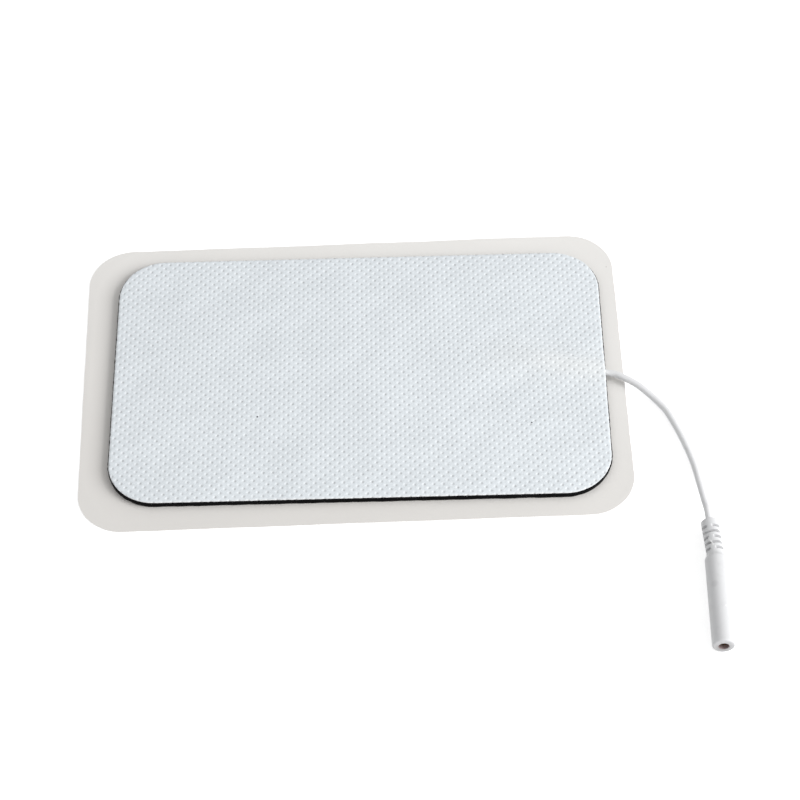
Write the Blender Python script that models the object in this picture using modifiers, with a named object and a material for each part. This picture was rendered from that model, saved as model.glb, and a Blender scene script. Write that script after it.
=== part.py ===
"""Self-adhesive electrode pad on its release liner, with a pigtail lead and a pin socket.

Metres, +Z up. The origin is the centre of the liner's underside, which lies on the table. +X runs
along the pad towards the edge that the lead leaves, and the connector lies towards -Y.
"""

import math

import bmesh
import bpy
import numpy as np
from mathutils import Matrix, Vector

# The pad's plan, and where it is stuck on its liner
PAD_LENGTH = 0.130
PAD_WIDTH = 0.080
PAD_CORNER_RADIUS = 0.0125
PAD_SHIFT = 0.0016  # the pad sits this far towards +X of the liner's centre
LINER_MARGIN = 0.0065
LINER_CORNER_RADIUS = 0.012
LINER_TURN = math.radians(0.9)

# The stack of layers, from the table up
LINER_THICKNESS = 0.0001
GEL_THICKNESS = 0.0012
FILM_THICKNESS = 0.00035
FABRIC_THICKNESS = 0.00045
BOND_GAP = 0.00002  # adhesive between two layers

# The lead and its bare strands
LEAD_RADIUS = 0.0009
CONDUCTOR_RADIUS = 0.00045
EXIT_Y = -0.00165  # where the lead crosses the pad's short edge
LEAD_TURN = math.radians(-13)  # its heading there
JACKET_INSIDE = 0.012  # jacketed length inside the pad
GEL_UNDER_LEAD = 0.0004  # gel left under the lead, which is pressed into it
STRAND_COUNT = 7
STRAND_RADIUS = 0.00012
STRAND_LENGTH = 0.022
STRAND_SPACING = 0.0016  # at the spread ends
STRAND_ROOT_SPREAD = 0.9  # share of the conductor's width that the strands' roots take up
STRAND_DROP_SHARE = 0.3  # share of its length in which a strand comes down to the film

# The pocket that the layers form round the lead
POCKET_CLEARANCE = 0.00005
FILM_DIP_MARGIN = 0.0007
FABRIC_TENT_MARGIN = 0.0056
STRAND_TENT_MARGIN = 0.0022
STRAND_HEADROOM = 0.0002
POCKET_RUNOUT = 0.005

# The lead's free route: offset from the exit in X and Y, and lift above lying on the table
ROUTE = (
    (0.00210, -0.00050, 0.00096),
    (0.00400, -0.00145, 0.00104),
    (0.00600, -0.00265, 0.00098),
    (0.00790, -0.00395, 0.00080),
    (0.00980, -0.00565, 0.00054),
    (0.01170, -0.00760, 0.00026),
    (0.01350, -0.00985, 0.00010),
    (0.01530, -0.01255, 0.00004),
    (0.01785, -0.01895, 0.00003),
    (0.01975, -0.02490, 0.00003),
    (0.02105, -0.03040, 0.00012),
    (0.02185, -0.03640, 0.00050),
    (0.02245, -0.04190, 0.00130),
)
RELIEF_END = (0.02303, -0.04877)  # offset from the exit to the strain relief's free end
CONNECTOR_TURN = math.radians(-0.9)  # heading of the connector's body, from -Y
RELIEF_BEND = math.radians(4.4)  # how far the strain relief is bent out of line with the body
STRAIGHT_LEAD_IN = 0.0035

# The connector, from its mouth back to the lead
PIN_RADIUS = 0.0010
MOUTH_CLEARANCE = 0.00027
SLEEVE_WALL = 0.0005
CRIMP_WALL = 0.0005
BODY_WALL = 0.0013
RELIEF_WALL = 0.00131
FIT_GAP = 0.00005
LIP_LENGTH = 0.0012
SLEEVE_LENGTH = 0.013
PIN_DEPTH = 0.011
SLIT_LENGTH = 0.007
SLIT_WIDTH = 0.0003
CRIMP_LENGTH = 0.005
CRIMP_BORE_DEPTH = 0.004
BARE_LENGTH = 0.0008  # conductor showing between the crimp and the jacket
GRIP_LENGTH = 0.00565
SHOULDER_LENGTH = 0.0015
RELIEF_LENGTH = 0.0102
MOUTH_ROUNDING = 0.0005
RELIEF_ROUNDING = 0.0004

# The strain relief's staggered slots
SLOT_COUNT = 5
SLOT_WIDTH = 0.00065
SLOT_BRIDGE = 0.0013
SLOT_TURN = math.radians(108)
RELIEF_END_RING = 0.00245  # from the relief's free end to the first slot's centre
RELIEF_ROOT_RING = 0.00115  # from the last slot's centre to the shoulder

# How finely round and raised shapes are divided
CORNER_SEGMENTS = 12
BODY_STEPS = 32
CONTACT_STEPS = 24
CONDUCTOR_STEPS = 16
ROUNDING_STEPS = 5
SHOULDER_STEPS = 4
TUBE_STEP = 0.0040
BEND_STEP = 0.0020
STRAND_STEP = 0.00275
RUNOUT_STEP = 0.0015
DIP_STEP = 0.00034
TENT_STEP = 0.0013
SHARP_ANGLE = math.radians(35)
WELD_DISTANCE = 1e-6

# Each finish: colour, roughness, metallic, alpha
FINISHES = {
    "release_liner": ((0.82, 0.80, 0.77), 0.25, 0.0, 0.6),
    "hydrogel_layer": ((0.030, 0.030, 0.034), 0.18, 0.0, 1.0),
    "carbon_film": ((0.012, 0.012, 0.014), 0.45, 0.0, 1.0),
    "backing_fabric": ((0.74, 0.79, 0.83), 0.8, 0.0, 1.0),
    "lead_jacket": ((0.80, 0.81, 0.82), 0.4, 0.0, 1.0),
    "moulded_grip": ((0.82, 0.83, 0.84), 0.38, 0.0, 1.0),
    "brass": ((0.60, 0.42, 0.20), 0.3, 1.0, 1.0),
    "tinned_strands": ((0.62, 0.60, 0.57), 0.35, 1.0, 1.0),
    "tinned_conductor": ((0.62, 0.60, 0.57), 0.35, 1.0, 1.0),
}

# Heights of the layers' faces
GEL_BOTTOM = LINER_THICKNESS + BOND_GAP
GEL_TOP = GEL_BOTTOM + GEL_THICKNESS
FILM_BOTTOM = GEL_TOP + BOND_GAP
FILM_TOP = FILM_BOTTOM + FILM_THICKNESS
FABRIC_BOTTOM = FILM_TOP + BOND_GAP
FABRIC_TOP = FABRIC_BOTTOM + FABRIC_THICKNESS

# The lead in its pocket
LEAD_SINK = GEL_THICKNESS - GEL_UNDER_LEAD
EXIT_HEIGHT = FILM_TOP - LEAD_SINK + POCKET_CLEARANCE + LEAD_RADIUS
LEAD_RISE = EXIT_HEIGHT + LEAD_RADIUS + POCKET_CLEARANCE - FABRIC_BOTTOM
EXIT = Vector((PAD_SHIFT + PAD_LENGTH / 2, EXIT_Y, EXIT_HEIGHT))
PAST_THE_PAD = PAD_LENGTH + PAD_WIDTH

# The fan of strands beyond the jacket
STRAND_HEIGHT = FILM_TOP + STRAND_RADIUS + POCKET_CLEARANCE
STRAND_RISE = 2 * STRAND_RADIUS + STRAND_HEADROOM
FAN_HALF_WIDTH = STRAND_SPACING * (STRAND_COUNT - 1) / 2

# The connector's radii, and places along its axis measured from the mouth
MOUTH_RADIUS = PIN_RADIUS + MOUTH_CLEARANCE
SLEEVE_RADIUS = PIN_RADIUS + SLEEVE_WALL
BODY_RADIUS = SLEEVE_RADIUS + FIT_GAP + BODY_WALL
CRIMP_BORE_RADIUS = CONDUCTOR_RADIUS + FIT_GAP
CRIMP_RADIUS = CRIMP_BORE_RADIUS + CRIMP_WALL
RELIEF_RADIUS = LEAD_RADIUS + FIT_GAP + RELIEF_WALL
SLEEVE_START = LIP_LENGTH + FIT_GAP
SLEEVE_END = SLEEVE_START + SLEEVE_LENGTH
CRIMP_END = SLEEVE_END + CRIMP_LENGTH
JACKET_END = CRIMP_END + BARE_LENGTH
SHOULDER_START = CRIMP_END + GRIP_LENGTH
RELIEF_START = SHOULDER_START + SHOULDER_LENGTH
CONNECTOR_LENGTH = RELIEF_START + RELIEF_LENGTH


def make_material(name):
    """A plain surface with one of the finishes."""
    color, roughness, metallic, alpha = FINISHES[name]
    material = bpy.data.materials.new(name)
    material.use_nodes = True
    shader = material.node_tree.nodes["Principled BSDF"]
    shader.inputs["Base Color"].default_value = (*color, 1.0)
    shader.inputs["Roughness"].default_value = roughness
    shader.inputs["Metallic"].default_value = metallic
    shader.inputs["Alpha"].default_value = alpha
    return material


def add_object(name, data, collection, finish=None):
    """An object for this data, in this collection."""
    made = bpy.data.objects.new(name, data)
    collection.objects.link(made)
    if finish is not None:
        data.materials.append(make_material(finish))
    return made


def mesh_from(name, shape):
    """A mesh from a bmesh, which is freed."""
    bmesh.ops.recalc_face_normals(shape, faces=shape.faces)
    mesh = bpy.data.meshes.new(name)
    shape.to_mesh(mesh)
    shape.free()
    return mesh


def cut(target, cutter, operation="DIFFERENCE"):
    """A Boolean modifier that takes this cutter."""
    modifier = target.modifiers.new(cutter.name, "BOOLEAN")
    modifier.operation = operation
    modifier.object = cutter


def as_cutter(obj):
    """Keeps a helper out of the finished object."""
    obj.hide_render = True
    obj.display_type = "WIRE"
    return obj


def box(size, center=(0, 0, 0)):
    """The shape of a box of this size, with its centre here."""
    shape = bmesh.new()
    bmesh.ops.create_cube(shape, size=1.0)
    bmesh.ops.scale(shape, vec=size, verts=shape.verts)
    bmesh.ops.translate(shape, vec=center, verts=shape.verts)
    return shape


def rounded_slab(name, length, width, corner_radius, bottom, top):
    """A plate with round corners in plan, centred on the Z axis."""
    shape = box((length, width, top - bottom), (0, 0, (bottom + top) / 2))
    upright = [edge for edge in shape.edges if edge.verts[0].co.xy == edge.verts[1].co.xy]
    bmesh.ops.bevel(
        shape,
        geom=upright,
        offset=corner_radius,
        segments=CORNER_SEGMENTS,
        profile=0.5,
        affect="EDGES",
    )
    return mesh_from(name, shape)


def smooth_fall(distance, length):
    """1 up to distance 0, then a smooth fall to 0 at this length."""
    t = min(max(distance / length, 0.0), 1.0)
    return 1.0 - t * t * (3.0 - 2.0 * t)


def trough(offset, half_width):
    """Depth, from 0 to 1, of a skin pressed down tightly by something round."""
    t = min(abs(offset) / half_width, 1.0)
    return (1.0 - t**4) ** 1.5


def swell(offset, half_width):
    """Height, from 0 to 1, of a stiff skin that is raised gently over something."""
    t = min(abs(offset) / half_width, 1.0)
    return (1.0 - t**2) ** 2


def film_dip(along, across):
    """How far the lead presses the film down. along is 0 at the pad's edge and grows inwards."""
    fall = smooth_fall(along - JACKET_INSIDE, POCKET_RUNOUT)
    return LEAD_SINK * fall * trough(across, LEAD_RADIUS + FILM_DIP_MARGIN)


def fabric_rise(along, across):
    """How far the fabric is raised over the lead, and over the fan of strands beyond it."""
    lead = smooth_fall(along - JACKET_INSIDE, POCKET_RUNOUT)
    lead *= swell(across, LEAD_RADIUS + FABRIC_TENT_MARGIN)
    spread = min(max((along - JACKET_INSIDE) / STRAND_LENGTH, 0.0), 1.0)
    half_width = LEAD_RADIUS + STRAND_TENT_MARGIN + spread * FAN_HALF_WIDTH
    strands = smooth_fall(along - JACKET_INSIDE - STRAND_LENGTH, POCKET_RUNOUT)
    strands *= trough(across, half_width)
    return lead * LEAD_RISE + (1.0 - lead) * strands * STRAND_RISE


def evenly(start, end, step):
    """Values from start to end, both included, at about this step."""
    return list(np.linspace(start, end, max(1, round((end - start) / step)) + 1))


def lines_across(half_width, step):
    """Grid lines across the lead, even out to this half width, with one past the pad on each side."""
    half = evenly(0, half_width, step)
    return [-PAST_THE_PAD, *(-value for value in reversed(half[1:])), *half, PAST_THE_PAD]


def lines_along(end):
    """Grid lines along the lead: at the pad's edge, then from the jacket's end on to this end."""
    return [-PAST_THE_PAD, 0, *evenly(JACKET_INSIDE, end, RUNOUT_STEP), PAST_THE_PAD]


def pressed_layer(name, collection, lines, bottom, top):
    """A layer whose lower and upper faces are heights over (along, across).

    The grid lies in the lead's own frame, so that its lines follow the pocket.
    """
    along_lines, across_lines = lines
    columns, rows = len(along_lines) - 1, len(across_lines) - 1
    shape = bmesh.new()
    bmesh.ops.create_grid(shape, x_segments=columns, y_segments=rows, size=0.5)
    for vert in shape.verts:
        along = along_lines[round((vert.co.x + 0.5) * columns)]
        across = across_lines[round((vert.co.y + 0.5) * rows)]
        vert.co = (-along, across, bottom(along, across))
    grown = bmesh.ops.extrude_face_region(shape, geom=shape.faces[:])
    for vert in grown["geom"]:
        if isinstance(vert, bmesh.types.BMVert):
            vert.co.z = top(-vert.co.x, vert.co.y)
    placed = Matrix.Translation((EXIT.x, EXIT.y, 0)) @ Matrix.Rotation(LEAD_TURN, 4, "Z")
    bmesh.ops.transform(shape, matrix=placed, verts=shape.verts)
    return add_object(name, mesh_from(name, shape), collection, name)


def make_pad(parts, cutters):
    """The gel, the film and the fabric, stacked and cut to one outline."""
    over_everything = FABRIC_TOP + 2 * LEAD_RISE
    outline = rounded_slab(
        "pad_outline", PAD_LENGTH, PAD_WIDTH, PAD_CORNER_RADIUS, -GEL_THICKNESS, over_everything
    )
    outline = as_cutter(add_object("pad_outline", outline, cutters))
    outline.location.x = PAD_SHIFT

    dip_lines = (
        lines_along(JACKET_INSIDE + POCKET_RUNOUT),
        lines_across(LEAD_RADIUS + FILM_DIP_MARGIN, DIP_STEP),
    )
    tent_width = LEAD_RADIUS + max(FABRIC_TENT_MARGIN, STRAND_TENT_MARGIN + FAN_HALF_WIDTH)
    tent_lines = (
        lines_along(JACKET_INSIDE + STRAND_LENGTH + POCKET_RUNOUT),
        lines_across(tent_width, TENT_STEP),
    )

    layers = (
        (
            "hydrogel_layer",
            dip_lines,
            lambda along, across: GEL_BOTTOM,
            lambda along, across: GEL_TOP - film_dip(along, across),
        ),
        (
            "carbon_film",
            dip_lines,
            lambda along, across: FILM_BOTTOM - film_dip(along, across),
            lambda along, across: FILM_TOP - film_dip(along, across),
        ),
        (
            "backing_fabric",
            tent_lines,
            lambda along, across: FABRIC_BOTTOM + fabric_rise(along, across),
            lambda along, across: FABRIC_TOP + fabric_rise(along, across),
        ),
    )
    for name, lines, bottom, top in layers:
        cut(pressed_layer(name, parts, lines, bottom, top), outline, "INTERSECT")


def make_liner(parts):
    """The clear film that covers the gel until use, a little askew under the pad."""
    mesh = rounded_slab(
        "release_liner",
        PAD_LENGTH + 2 * LINER_MARGIN,
        PAD_WIDTH + 2 * LINER_MARGIN,
        LINER_CORNER_RADIUS,
        0.0,
        LINER_THICKNESS,
    )
    liner = add_object("release_liner", mesh, parts, "release_liner")
    liner.rotation_euler.z = LINER_TURN


def smooth_path(points, step):
    """Points at about this step along a Catmull-Rom curve through the given ones."""
    knots = [Vector(point) for point in points]
    knots = [2 * knots[0] - knots[1], *knots, 2 * knots[-1] - knots[-2]]
    found = []
    for before, start, end, after in zip(knots, knots[1:], knots[2:], knots[3:]):
        count = max(1, round((end - start).length / step))
        for i in range(count):
            t = i / count
            found.append(
                0.5
                * (
                    2 * start
                    + (end - before) * t
                    + (2 * before - 5 * start + 4 * end - after) * t**2
                    + (3 * start - before - 3 * end + after) * t**3
                )
            )
    return [*found, knots[-2]]


def tube(name, points, radius, collection, finish=None):
    """A round tube along these points, with closed ends."""
    curve = bpy.data.curves.new(name, "CURVE")
    curve.dimensions = "3D"
    curve.bevel_depth = radius
    curve.bevel_resolution = 2
    curve.use_fill_caps = True
    spline = curve.splines.new("POLY")
    spline.points.add(len(points) - 1)
    for spot, point in zip(spline.points, points):
        spot.co = (*point, 1.0)
    return add_object(name, curve, collection, finish)


def rod(name, length):
    """A length of bare conductor along Z, with its centre at the origin."""
    shape = bmesh.new()
    bmesh.ops.create_cone(
        shape,
        cap_ends=True,
        segments=CONDUCTOR_STEPS,
        radius1=CONDUCTOR_RADIUS,
        radius2=CONDUCTOR_RADIUS,
        depth=length,
    )
    return mesh_from(name, shape)


def lead_heading():
    """Unit vector along the lead as it leaves the pad."""
    return Vector((math.cos(LEAD_TURN), math.sin(LEAD_TURN), 0.0))


def body_heading():
    """Unit vector along the connector's body, towards its mouth."""
    return Vector((math.sin(CONNECTOR_TURN), -math.cos(CONNECTOR_TURN), 0.0))


def relief_heading():
    """Unit vector along the bent strain relief, towards the body."""
    turn = CONNECTOR_TURN + RELIEF_BEND
    return Vector((math.sin(turn), -math.cos(turn), 0.0))


def relief_end():
    """Centre of the strain relief's free end."""
    return Vector((EXIT.x + RELIEF_END[0], EXIT.y + RELIEF_END[1], BODY_RADIUS))


def relief_root():
    """Centre of the strain relief where it is bent, at the shoulder."""
    return relief_end() + relief_heading() * RELIEF_LENGTH


def make_lead(parts):
    """The jacketed lead, from its cut end inside the pad to its cut end behind the crimp."""
    out, end, root = lead_heading(), relief_end(), relief_root()
    points = [EXIT - out * JACKET_INSIDE, EXIT - out * JACKET_INSIDE / 2, EXIT]
    points += [Vector((EXIT.x + x, EXIT.y + y, LEAD_RADIUS + lift)) for x, y, lift in ROUTE]
    relief_run = evenly(0, RELIEF_LENGTH, BEND_STEP)
    body_run = evenly(0, RELIEF_START - JACKET_END, BEND_STEP)[1:]
    points += [end + relief_heading() * run for run in (-STRAIGHT_LEAD_IN, *relief_run)]
    points += [root + body_heading() * run for run in body_run]
    tube("lead_wire", smooth_path(points, TUBE_STEP), LEAD_RADIUS, parts, "lead_jacket")


def make_strands(parts, cutters):
    """The bare conductor, fanned out between the film and the fabric."""
    root_length = 2 * CONDUCTOR_RADIUS
    root = EXIT - lead_heading() * (JACKET_INSIDE + POCKET_CLEARANCE + root_length / 2)
    mesh = rod("conductor_strands", root_length)
    mesh.transform(Matrix.Rotation(math.radians(90), 4, "Y"))
    fan = add_object("conductor_strands", mesh, parts, "tinned_strands")
    fan.location = root
    fan.rotation_euler.z = LEAD_TURN

    strands = bpy.data.collections.new("strand cutters")
    cutters.children.link(strands)
    drop = STRAND_HEIGHT - EXIT_HEIGHT
    root_width = 2 * (CONDUCTOR_RADIUS - STRAND_RADIUS) * STRAND_ROOT_SPREAD
    root_spacing = root_width / max(STRAND_COUNT - 1, 1)
    for index in range(STRAND_COUNT):
        place = index - (STRAND_COUNT - 1) / 2
        points = []
        for along in evenly(0, STRAND_LENGTH, STRAND_STEP):
            t = along / STRAND_LENGTH
            spacing = STRAND_SPACING + (root_spacing - STRAND_SPACING) * smooth_fall(t, 1.0)
            height = drop * (1.0 - smooth_fall(t, STRAND_DROP_SHARE))
            points.append((-along, place * spacing, height))
        strand = as_cutter(mesh_copy(tube(f"strand_{index}", points, STRAND_RADIUS, strands)))
        strand.location, strand.rotation_euler = fan.location, fan.rotation_euler
    joined = fan.modifiers.new("strands", "BOOLEAN")
    joined.operation = "UNION"
    joined.operand_type = "COLLECTION"
    joined.collection = strands


def mesh_copy(obj):
    """An object with its modifiers applied, as one welded mesh in the same collections."""
    bpy.context.view_layer.update()
    graph = bpy.context.evaluated_depsgraph_get()
    mesh = bpy.data.meshes.new_from_object(obj.evaluated_get(graph))
    shape = bmesh.new()
    shape.from_mesh(mesh)
    bmesh.ops.remove_doubles(shape, verts=shape.verts, dist=WELD_DISTANCE)
    bmesh.ops.recalc_face_normals(shape, faces=shape.faces)
    shape.to_mesh(mesh)
    shape.free()
    name, homes = obj.name, list(obj.users_collection)
    matrix = obj.matrix_world.copy()
    bpy.data.objects.remove(obj)
    made = bpy.data.objects.new(name, mesh)
    made.matrix_world = matrix
    for home in homes:
        home.objects.link(made)
    return made


def turned(name, profile, steps, finish, collection):
    """A profile of (radius, height) turned round Z. At its outer side it runs from top to bottom."""
    mesh = bpy.data.meshes.new(name)
    closed = profile[0][0] > 0
    last = len(profile) - 1
    edges = [(i, i + 1) for i in range(last)] + ([(last, 0)] if closed else [])
    mesh.from_pydata([(radius, 0.0, height) for radius, height in profile], edges, [])
    made = add_object(name, mesh, collection, finish)
    screw = made.modifiers.new("turn", "SCREW")
    screw.steps = steps
    screw.render_steps = steps
    screw.use_merge_vertices = True
    screw.merge_threshold = WELD_DISTANCE
    return made


def quarter(center, radius, start, stop):
    """Points on an arc, with its angles in degrees."""
    angles = np.radians(np.linspace(start, stop, ROUNDING_STEPS + 1))
    return [(center[0] + radius * math.cos(a), center[1] + radius * math.sin(a)) for a in angles]


def shoulder():
    """Points of the smooth step from the body down to the strain relief."""
    step = BODY_RADIUS - RELIEF_RADIUS
    return [
        (RELIEF_RADIUS + step * smooth_fall(t, 1.0), -(SHOULDER_START + SHOULDER_LENGTH * t))
        for t in np.linspace(0, 1, SHOULDER_STEPS + 1)
    ]


def cut_slots(body, frame, cutters):
    """The strain relief's slots, in pairs that leave a bridge, each pair a quarter turn on."""
    pitch = (RELIEF_LENGTH - RELIEF_END_RING - RELIEF_ROOT_RING) / max(SLOT_COUNT - 1, 1)
    reach = RELIEF_RADIUS + SLOT_WIDTH
    depth = reach - SLOT_BRIDGE / 2
    for index in range(SLOT_COUNT):
        for side, label in ((-1, "low"), (1, "high")):
            name = f"slot_{index}_{label}"
            center = (0, side * (SLOT_BRIDGE + depth) / 2, 0)
            mesh = mesh_from(name, box((2 * reach, depth, SLOT_WIDTH), center))
            slot = as_cutter(add_object(name, mesh, cutters))
            slot.parent = frame
            slot.location.z = RELIEF_END_RING + index * pitch - CONNECTOR_LENGTH
            slot.rotation_euler.z = SLOT_TURN + (index % 2) * math.radians(90)
            cut(body, slot)


def bend_relief(body):
    """Turns all that lies beyond the shoulder about the strain relief's root.

    The faces become triangles first, so that they stay flat.
    """
    root = Vector((0, 0, -RELIEF_START))
    turn = Matrix.Translation(root) @ Matrix.Rotation(RELIEF_BEND, 4, "Y") @ Matrix.Translation(-root)
    shape = bmesh.new()
    shape.from_mesh(body.data)
    bmesh.ops.triangulate(shape, faces=shape.faces)
    beyond = [vert for vert in shape.verts if vert.co.z < root.z - WELD_DISTANCE]
    bmesh.ops.transform(shape, matrix=turn, verts=beyond)
    shape.to_mesh(body.data)
    shape.free()


def make_connector_body(frame, parts, cutters):
    """The moulded body with its mouth, its chamber for the contact and its slotted strain relief."""
    bottom = -CONNECTOR_LENGTH
    chamber, crimp_room = SLEEVE_RADIUS + FIT_GAP, CRIMP_RADIUS + FIT_GAP
    wire_bore = LEAD_RADIUS + FIT_GAP
    chamber_end = -(SLEEVE_END + FIT_GAP)
    profile = [
        (MOUTH_RADIUS, 0.0),
        *quarter((BODY_RADIUS - MOUTH_ROUNDING, -MOUTH_ROUNDING), MOUTH_ROUNDING, 90, 0),
        *shoulder(),
        *quarter((RELIEF_RADIUS - RELIEF_ROUNDING, bottom + RELIEF_ROUNDING), RELIEF_ROUNDING, 0, -90),
        (wire_bore, bottom),
        (wire_bore, -RELIEF_START),
        (wire_bore, -JACKET_END),
        (crimp_room, -JACKET_END),
        (crimp_room, chamber_end),
        (chamber, chamber_end),
        (chamber, -LIP_LENGTH),
        (MOUTH_RADIUS, -LIP_LENGTH),
    ]
    body = turned("connector_body", profile, BODY_STEPS, "moulded_grip", parts)
    body.parent = frame
    cut_slots(body, frame, cutters)
    bend_relief(mesh_copy(body))


def make_contact(frame, parts, cutters):
    """The slit socket for the pin, with its crimp barrel, turned in one piece."""
    top, step, bottom = -SLEEVE_START, -SLEEVE_END, -CRIMP_END
    profile = [
        (0.0, top - PIN_DEPTH),
        (PIN_RADIUS, top - PIN_DEPTH),
        (PIN_RADIUS, top),
        (SLEEVE_RADIUS, top),
        (SLEEVE_RADIUS, step),
        (CRIMP_RADIUS, step),
        (CRIMP_RADIUS, bottom),
        (CRIMP_BORE_RADIUS, bottom),
        (CRIMP_BORE_RADIUS, bottom + CRIMP_BORE_DEPTH),
        (0.0, bottom + CRIMP_BORE_DEPTH),
    ]
    contact = turned("socket_contact", profile, CONTACT_STEPS, "brass", parts)
    contact.parent = frame
    through = 2 * (SLEEVE_RADIUS + SLEEVE_WALL)
    slit = mesh_from("contact_slit", box((SLIT_WIDTH, through, 2 * SLIT_LENGTH)))
    slit = as_cutter(add_object("contact_slit", slit, cutters))
    slit.parent = frame
    slit.location.z = top
    cut(contact, slit)


def make_crimped_conductor(frame, parts):
    """The stripped end of the conductor, from the jacket into the crimp barrel."""
    length = CRIMP_BORE_DEPTH + BARE_LENGTH - 2 * FIT_GAP
    made = add_object("crimped_conductor", rod("crimped_conductor", length), parts, "tinned_conductor")
    made.parent = frame
    made.location.z = -(JACKET_END - FIT_GAP - length / 2)


def make_connector(parts, cutters):
    """The connector's pieces, hung on an empty at the mouth with its Z axis out of the mouth."""
    frame = bpy.data.objects.new("connector_frame", None)
    parts.objects.link(frame)
    frame.location = relief_root() + body_heading() * RELIEF_START
    upright = Matrix.Rotation(CONNECTOR_TURN, 4, "Z") @ Matrix.Rotation(math.radians(90), 4, "X")
    frame.rotation_euler = upright.to_euler()
    make_connector_body(frame, parts, cutters)
    make_contact(frame, parts, cutters)
    make_crimped_conductor(frame, parts)


def shade_round(parts):
    """Round pieces shaded smooth, with their edges left crisp."""
    for obj in parts.objects:
        if obj.type == "MESH":
            obj.data.shade_smooth()
            obj.data.set_sharp_from_angle(angle=SHARP_ANGLE)


def main():
    """Clears the scene and builds the electrode pad."""
    for obj in list(bpy.data.objects):
        bpy.data.objects.remove(obj)
    parts = bpy.data.collections.new("tens_electrode_pad")
    cutters = bpy.data.collections.new("cutters")
    bpy.context.scene.collection.children.link(parts)
    bpy.context.scene.collection.children.link(cutters)
    make_liner(parts)
    make_pad(parts, cutters)
    make_lead(parts)
    make_strands(parts, cutters)
    make_connector(parts, cutters)
    shade_round(parts)


main()
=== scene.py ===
"""Looks of a self-adhesive electrode pad on its release liner, with a white lead and a pin socket.

Metres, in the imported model's frame: +X runs along the pad towards the edge that the lead leaves, and
+Z up from the table. Each new piece is one closed surface, worked out as whole arrays on a grid.
"""

from __future__ import annotations

import logging
import math
from dataclasses import dataclass, field, replace
from enum import Enum

import bpy
import numpy as np
from mathutils import Matrix, Vector


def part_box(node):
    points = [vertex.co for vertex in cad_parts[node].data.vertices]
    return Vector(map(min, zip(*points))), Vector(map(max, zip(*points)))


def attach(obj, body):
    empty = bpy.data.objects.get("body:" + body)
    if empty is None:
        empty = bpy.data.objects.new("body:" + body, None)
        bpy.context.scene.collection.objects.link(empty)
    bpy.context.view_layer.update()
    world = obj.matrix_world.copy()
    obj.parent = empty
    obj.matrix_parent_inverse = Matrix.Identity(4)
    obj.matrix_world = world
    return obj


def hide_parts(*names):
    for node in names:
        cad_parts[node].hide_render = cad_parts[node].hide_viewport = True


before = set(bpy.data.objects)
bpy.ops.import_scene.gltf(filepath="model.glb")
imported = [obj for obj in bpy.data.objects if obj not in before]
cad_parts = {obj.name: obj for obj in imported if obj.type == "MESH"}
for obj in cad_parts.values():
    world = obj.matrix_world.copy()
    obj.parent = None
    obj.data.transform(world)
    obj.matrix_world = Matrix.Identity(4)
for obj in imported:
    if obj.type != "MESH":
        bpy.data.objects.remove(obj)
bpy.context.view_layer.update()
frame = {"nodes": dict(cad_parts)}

ROOT = "root"
MM = 0.001
WHITE = (1.0, 1.0, 1.0)
UP = np.array([0.0, 0.0, 1.0])
LOG = logging.getLogger("electrode_pad")

Array = np.ndarray
Pair = tuple[float, float]
Point = Color = tuple[float, float, float]
Material = bpy.types.Material
Node = bpy.types.Node
Piece = bpy.types.Object
Socket = bpy.types.NodeSocket
Tree = bpy.types.NodeTree
Value = float | tuple | Socket


def smooth_fall(distance: Array, length: float) -> Array:
    """1 up to distance 0, then 1 - t²(3 - 2t) down to 0 at this length, with t distance / length."""
    t = np.clip(distance / length, 0.0, 1.0)
    return 1.0 - t * t * (3.0 - 2.0 * t)


def trough(offset: Array, half_width: float | Array) -> Array:
    """Depth, from 0 to 1, of a skin pressed down tightly by something round: (1 - t⁴)^1.5."""
    t = np.clip(np.abs(offset) / half_width, 0.0, 1.0)
    return (1.0 - t**4) ** 1.5


def swell(offset: Array, half_width: float | Array) -> Array:
    """Height, from 0 to 1, of a stiff skin that is raised gently over something: (1 - t²)²."""
    t = np.clip(np.abs(offset) / half_width, 0.0, 1.0)
    return (1.0 - t**2) ** 2


def turned(x: Array, y: Array, angle: float | Array) -> tuple[Array, Array]:
    """Points turned about the origin, anticlockwise from above."""
    cos, sin = np.cos(angle), np.sin(angle)
    return cos * x - sin * y, sin * x + cos * y


def heading(turn: float) -> Array:
    """Unit vector level with the table, turned this far from -Y towards +X."""
    return np.array([math.sin(turn), -math.cos(turn), 0.0])


def unit(rows: Array) -> Array:
    """Each row, scaled to length 1."""
    return rows / np.linalg.norm(rows, axis=1)[:, None]


def catmull_rom(knots: Array, step: float) -> Array:
    """Reads a Catmull-Rom curve through these points.

    Args:
        knots: the points that the curve passes through.
        step: about how far apart the points that are read lie.

    Returns:
        Points along the curve, with the last knot at its end.
    """
    padded = np.vstack([2 * knots[0] - knots[1], knots, 2 * knots[-1] - knots[-2]])
    found = []
    for before, start, end, after in zip(padded, padded[1:], padded[2:], padded[3:]):
        count = max(1, round(float(np.linalg.norm(end - start)) / step))
        t = (np.arange(count) / count)[:, None]
        curve = (
            2 * start
            + (end - before) * t
            + (2 * before - 5 * start + 4 * end - after) * t**2
            + (3 * start - before - 3 * end + after) * t**3
        )
        found.append(0.5 * curve)
    return np.vstack([*found, knots[-1:]])


def rounded(radius: float, run: float, rounding: float, turn: Pair, count: int) -> Array:
    """A rounded edge of a turned profile.

    Args:
        radius: how far its own centre is from the axis.
        run: how far its own centre is from the mouth.
        rounding: its radius.
        turn: where it starts and ends, in degrees from outwards towards the mouth.
        count: how many points it has.

    Returns:
        Radius and distance from the mouth of each point.
    """
    angle = np.radians(np.linspace(*turn, count))
    return profile(radius + rounding * np.cos(angle), run - rounding * np.sin(angle))


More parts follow.
